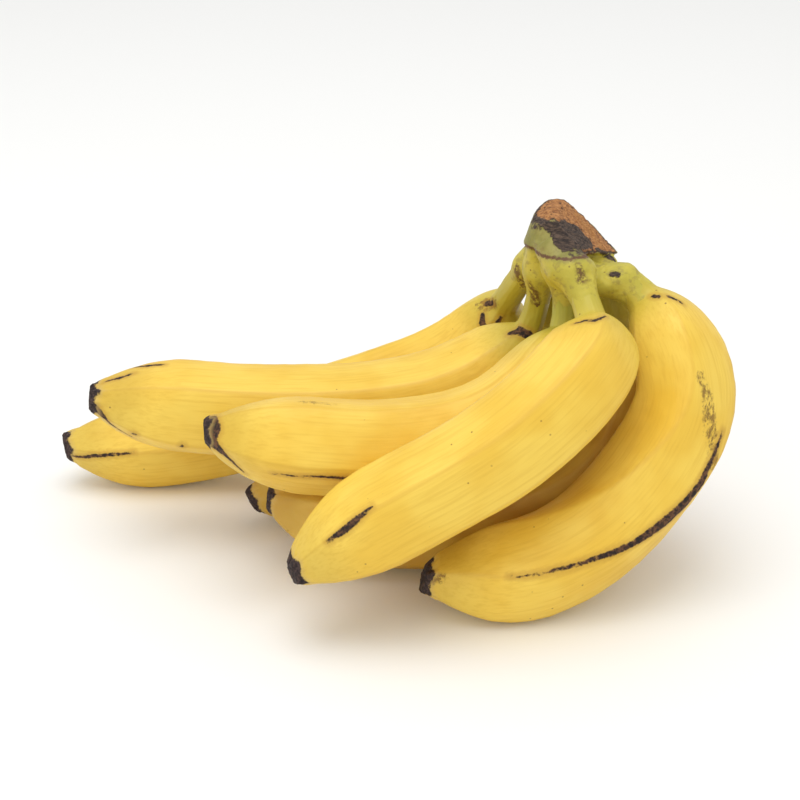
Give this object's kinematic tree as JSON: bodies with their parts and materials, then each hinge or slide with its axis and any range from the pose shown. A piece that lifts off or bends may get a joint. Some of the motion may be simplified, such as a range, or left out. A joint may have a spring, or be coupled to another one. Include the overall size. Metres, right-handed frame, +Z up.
{
  "type": "bunch of bananas",
  "caption": "Hand of ripe yellow bananas on one cut crown, lying on its lower fingers with the crown up and the tips spread to one side",
  "frame": {"origin": "on the surface that the bunch rests on, under the middle of its box", "axes": "+Z up; +X from the finger tips to the crown's side, the bunch's longest way; -Y is the open front"},
  "size_m": [0.258, 0.1563, 0.137],
  "materials": {
    "front_skin": "satin, waxy ripe banana skin with bruises along the ridges",
    "back_skin": "satin, waxy ripe banana skin, deeper ochre",
    "crown_stalk": "green stalk skin with a dried, brown, fibrous cut"
  },
  "bodies": {
    "root": {"crown": "crown_stalk", "finger_1_front": "front_skin", "finger_2_front": "front_skin", "finger_3_front": "front_skin", "finger_4_front": "front_skin", "finger_5_front": "front_skin", "finger_6_back": "back_skin", "finger_7_back": "back_skin"}
  },
  "joints": []
}
